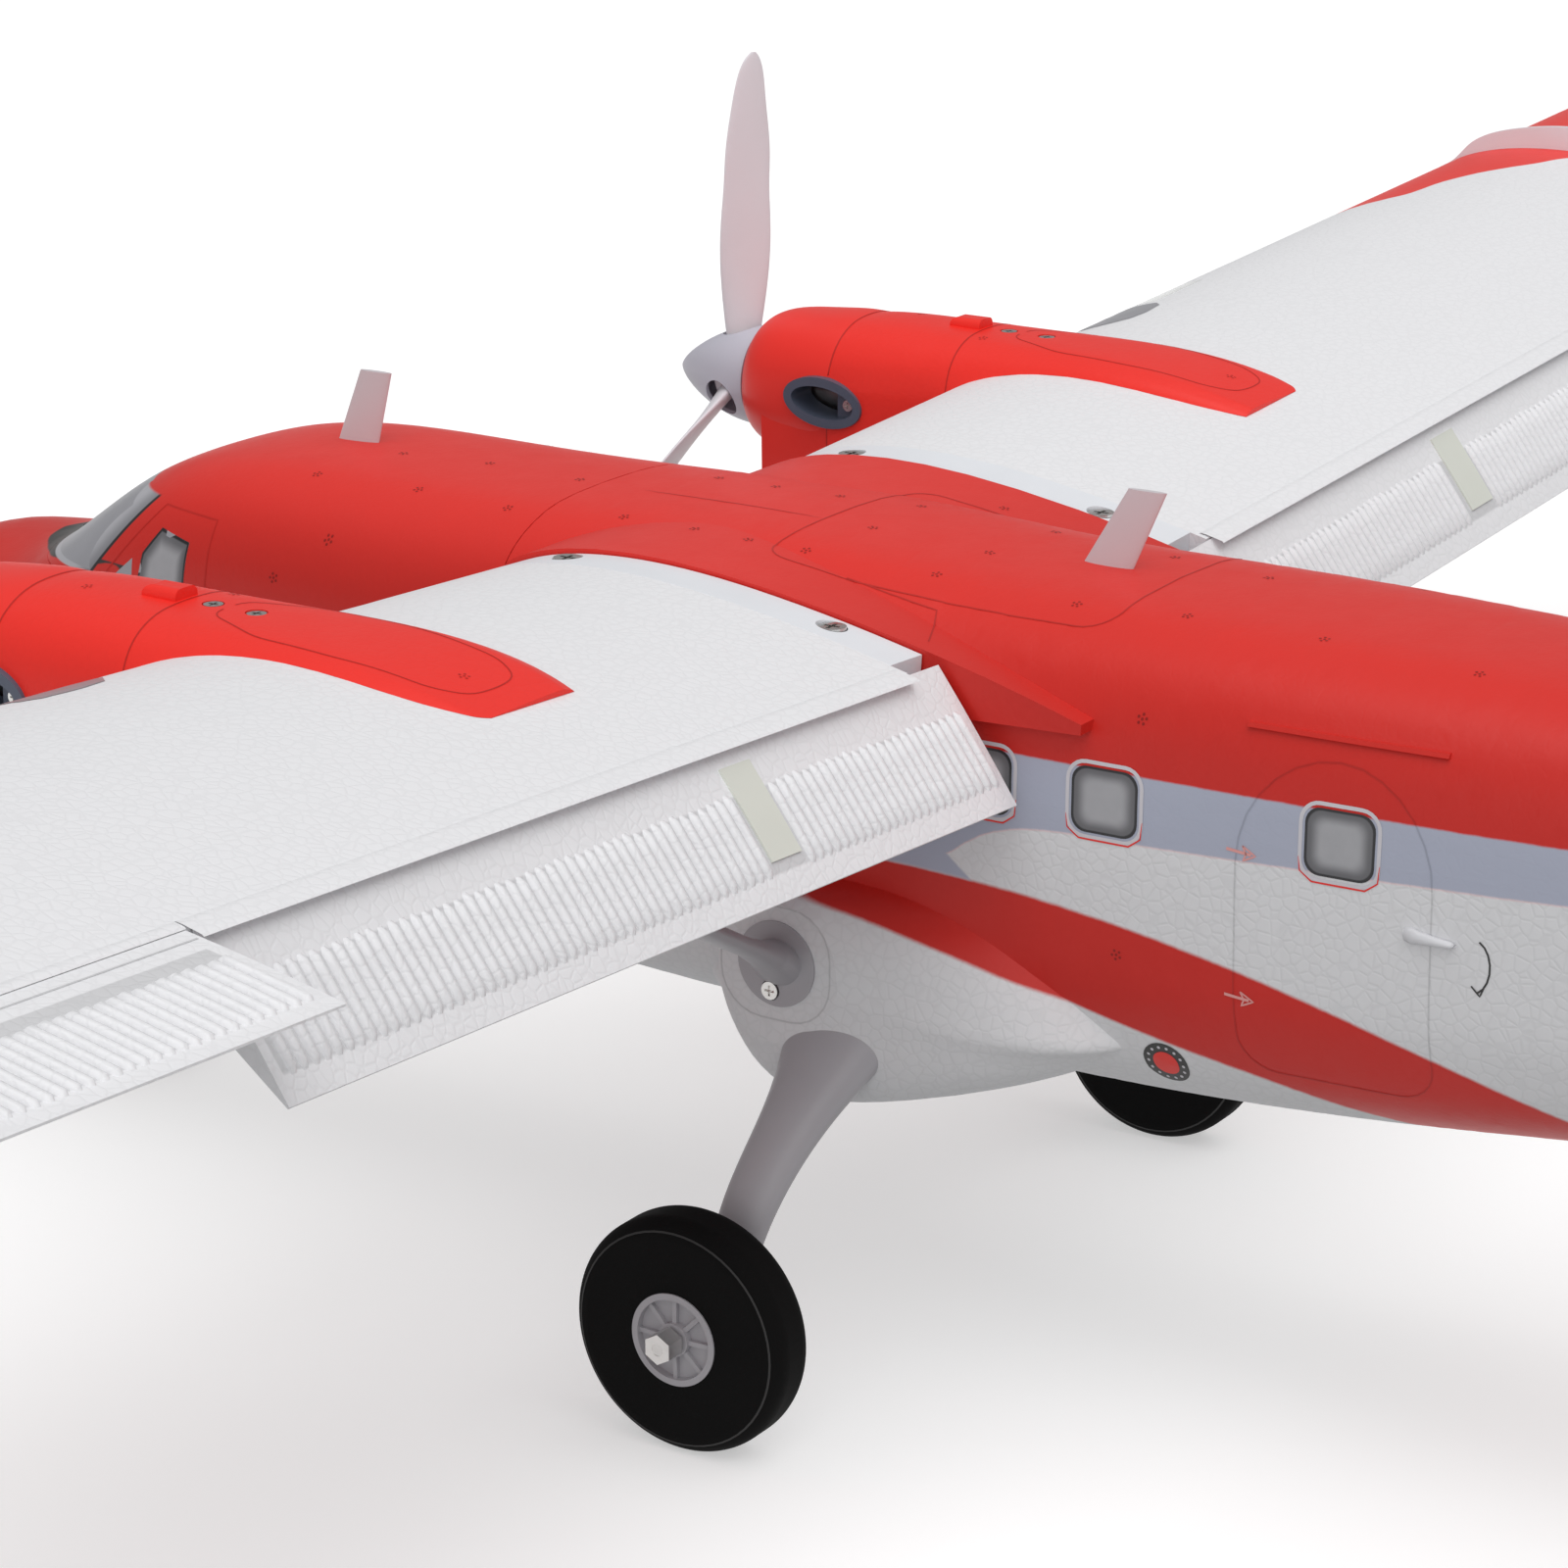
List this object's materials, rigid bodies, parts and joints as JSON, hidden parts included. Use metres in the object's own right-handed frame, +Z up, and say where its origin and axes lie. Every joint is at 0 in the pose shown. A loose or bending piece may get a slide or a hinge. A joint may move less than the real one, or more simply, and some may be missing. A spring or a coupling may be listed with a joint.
{
  "type": "radio-controlled model aeroplane",
  "caption": "Radio-controlled high-wing twin-propeller utility aeroplane of moulded foam with fixed tricycle gear, braced wings, slotted flaps and a lift-off battery hatch.",
  "frame": {"origin": "on the ground plane under the wheels, on the plane of symmetry, midway between the nose tip and the rudder's rear edge", "axes": "nose towards -Y, +X towards the aeroplane's left wing, +Z up"},
  "size_m": [1.21, 0.962, 0.362],
  "materials": {
    "red_foam": "satin",
    "white_foam": "matte",
    "two_tone_foam": "satin",
    "grey_plastic": "satin",
    "red_plastic": "satin",
    "slate_plastic": "satin",
    "black_plastic": "matte",
    "window_grey": "gloss",
    "clear_lens": "gloss",
    "foam_tyre": "matte",
    "bright_steel": "satin",
    "turned_aluminium": "satin",
    "motor_steel": "satin",
    "carbon_tube": "satin",
    "battery_wrap": "satin",
    "equipment_case": "satin"
  },
  "bodies": {
    "airframe": {"fuselage_shell": "two_tone_foam", "left_wing": "two_tone_foam", "right_wing": "two_tone_foam", "left_nacelle": "red_foam", "right_nacelle": "red_foam", "fin": "red_foam", "tailplane": "white_foam", "left_root_plate": "grey_plastic", "right_root_plate": "grey_plastic", "left_wing_fence": "grey_plastic", "right_wing_fence": "grey_plastic", "rear_antenna": "grey_plastic", "left_strut": "grey_plastic", "right_strut": "grey_plastic", "left_gear_leg": "grey_plastic", "right_gear_leg": "grey_plastic", "left_cowl": "red_plastic", "right_cowl": "red_plastic", "exhaust_stacks": "slate_plastic", "landing_light_lenses": "clear_lens", "motor_mounts": "black_plastic", "nose_gear_mount": "black_plastic", "battery_tray": "black_plastic", "fuselage_servos": "black_plastic", "wing_servos": "black_plastic", "wing_screws": "bright_steel", "nacelle_screws": "bright_steel", "strut_screws": "bright_steel", "main_axles": "bright_steel", "axle_collars": "turned_aluminium", "motor_stators": "motor_steel", "spar_tube": "carbon_tube", "battery": "battery_wrap", "speed_controllers": "equipment_case", "receiver": "equipment_case"},
    "left_flap": {"left_flap": "white_foam"},
    "right_flap": {"right_flap": "white_foam"},
    "left_aileron": {"left_aileron": "white_foam"},
    "right_aileron": {"right_aileron": "white_foam"},
    "elevator": {"elevator": "white_foam", "elevator_joiner": "bright_steel"},
    "rudder": {"rudder": "red_foam"},
    "canopy_hatch": {"canopy_hatch": "red_foam", "cockpit_glazing": "window_grey", "front_antenna": "grey_plastic"},
    "left_propeller": {"left_motor_bell": "motor_steel", "left_propeller": "grey_plastic", "left_spinner": "grey_plastic"},
    "right_propeller": {"right_motor_bell": "motor_steel", "right_propeller": "grey_plastic", "right_spinner": "grey_plastic"},
    "left_wheel": {"left_wheel_hub": "grey_plastic", "left_tyre": "foam_tyre"},
    "right_wheel": {"right_wheel_hub": "grey_plastic", "right_tyre": "foam_tyre"},
    "nose_leg": {"nose_leg": "grey_plastic", "steering_arm": "black_plastic", "nose_axle": "bright_steel"},
    "nose_wheel": {"nose_wheel_hub": "grey_plastic", "nose_tyre": "foam_tyre"}
  },
  "joints": [
    {"name": "left_flap_hinge", "type": "hinge", "parent": "airframe", "child": "left_flap", "pos_m": [0.0585, -0.05851, 0.17806], "axis": [0.9986, 0, 0.0523], "range_deg": [0, 38]},
    {"name": "right_flap_hinge", "type": "hinge", "parent": "airframe", "child": "right_flap", "pos_m": [-0.0585, -0.05851, 0.17806], "axis": [0.9986, 0, -0.0523], "range_deg": [0, 38]},
    {"name": "left_aileron_hinge", "type": "hinge", "parent": "airframe", "child": "left_aileron", "pos_m": [0.317, -0.05851, 0.1916], "axis": [0.9986, 0, 0.0523], "range_deg": [-20, 20]},
    {"name": "right_aileron_hinge", "type": "hinge", "parent": "airframe", "child": "right_aileron", "pos_m": [-0.317, -0.05851, 0.1916], "axis": [0.9986, 0, -0.0523], "range_deg": [-20, 20]},
    {"name": "elevator_hinge", "type": "hinge", "parent": "airframe", "child": "elevator", "pos_m": [0, 0.4376, 0.214], "axis": [1, 0, 0], "range_deg": [-22, 22]},
    {"name": "rudder_hinge", "type": "hinge", "parent": "airframe", "child": "rudder", "pos_m": [0, 0.4452, 0.27], "axis": [0, 0, 1], "range_deg": [-25, 25]},
    {"name": "hatch_lift", "type": "slide", "parent": "airframe", "child": "canopy_hatch", "axis": [0, 0, 1], "range_m": [0, 0.05]},
    {"name": "left_propeller_spin", "type": "hinge", "parent": "airframe", "child": "left_propeller", "pos_m": [0.171, -0.2623, 0.1785], "axis": [0, 1, 0], "continuous": true},
    {"name": "right_propeller_spin", "type": "hinge", "parent": "airframe", "child": "right_propeller", "pos_m": [-0.171, -0.2623, 0.1785], "axis": [0, 1, 0], "continuous": true},
    {"name": "left_wheel_spin", "type": "hinge", "parent": "airframe", "child": "left_wheel", "pos_m": [0.1132, -0.0893, 0.0285], "axis": [1, 0, 0], "continuous": true},
    {"name": "right_wheel_spin", "type": "hinge", "parent": "airframe", "child": "right_wheel", "pos_m": [-0.1132, -0.0893, 0.0285], "axis": [1, 0, 0], "continuous": true},
    {"name": "nose_leg_steer", "type": "hinge", "parent": "airframe", "child": "nose_leg", "pos_m": [0, -0.361, 0.1], "axis": [0, 0, 1], "range_deg": [-25, 25]},
    {"name": "nose_wheel_spin", "type": "hinge", "parent": "nose_leg", "child": "nose_wheel", "pos_m": [0, -0.361, 0.024], "axis": [1, 0, 0], "continuous": true}
  ],
  "couplings": [
    {"joint": "right_flap_hinge", "follows": "left_flap_hinge", "ratio": 1},
    {"joint": "right_aileron_hinge", "follows": "left_aileron_hinge", "ratio": -1},
    {"joint": "nose_leg_steer", "follows": "rudder_hinge", "ratio": -1}
  ]
}
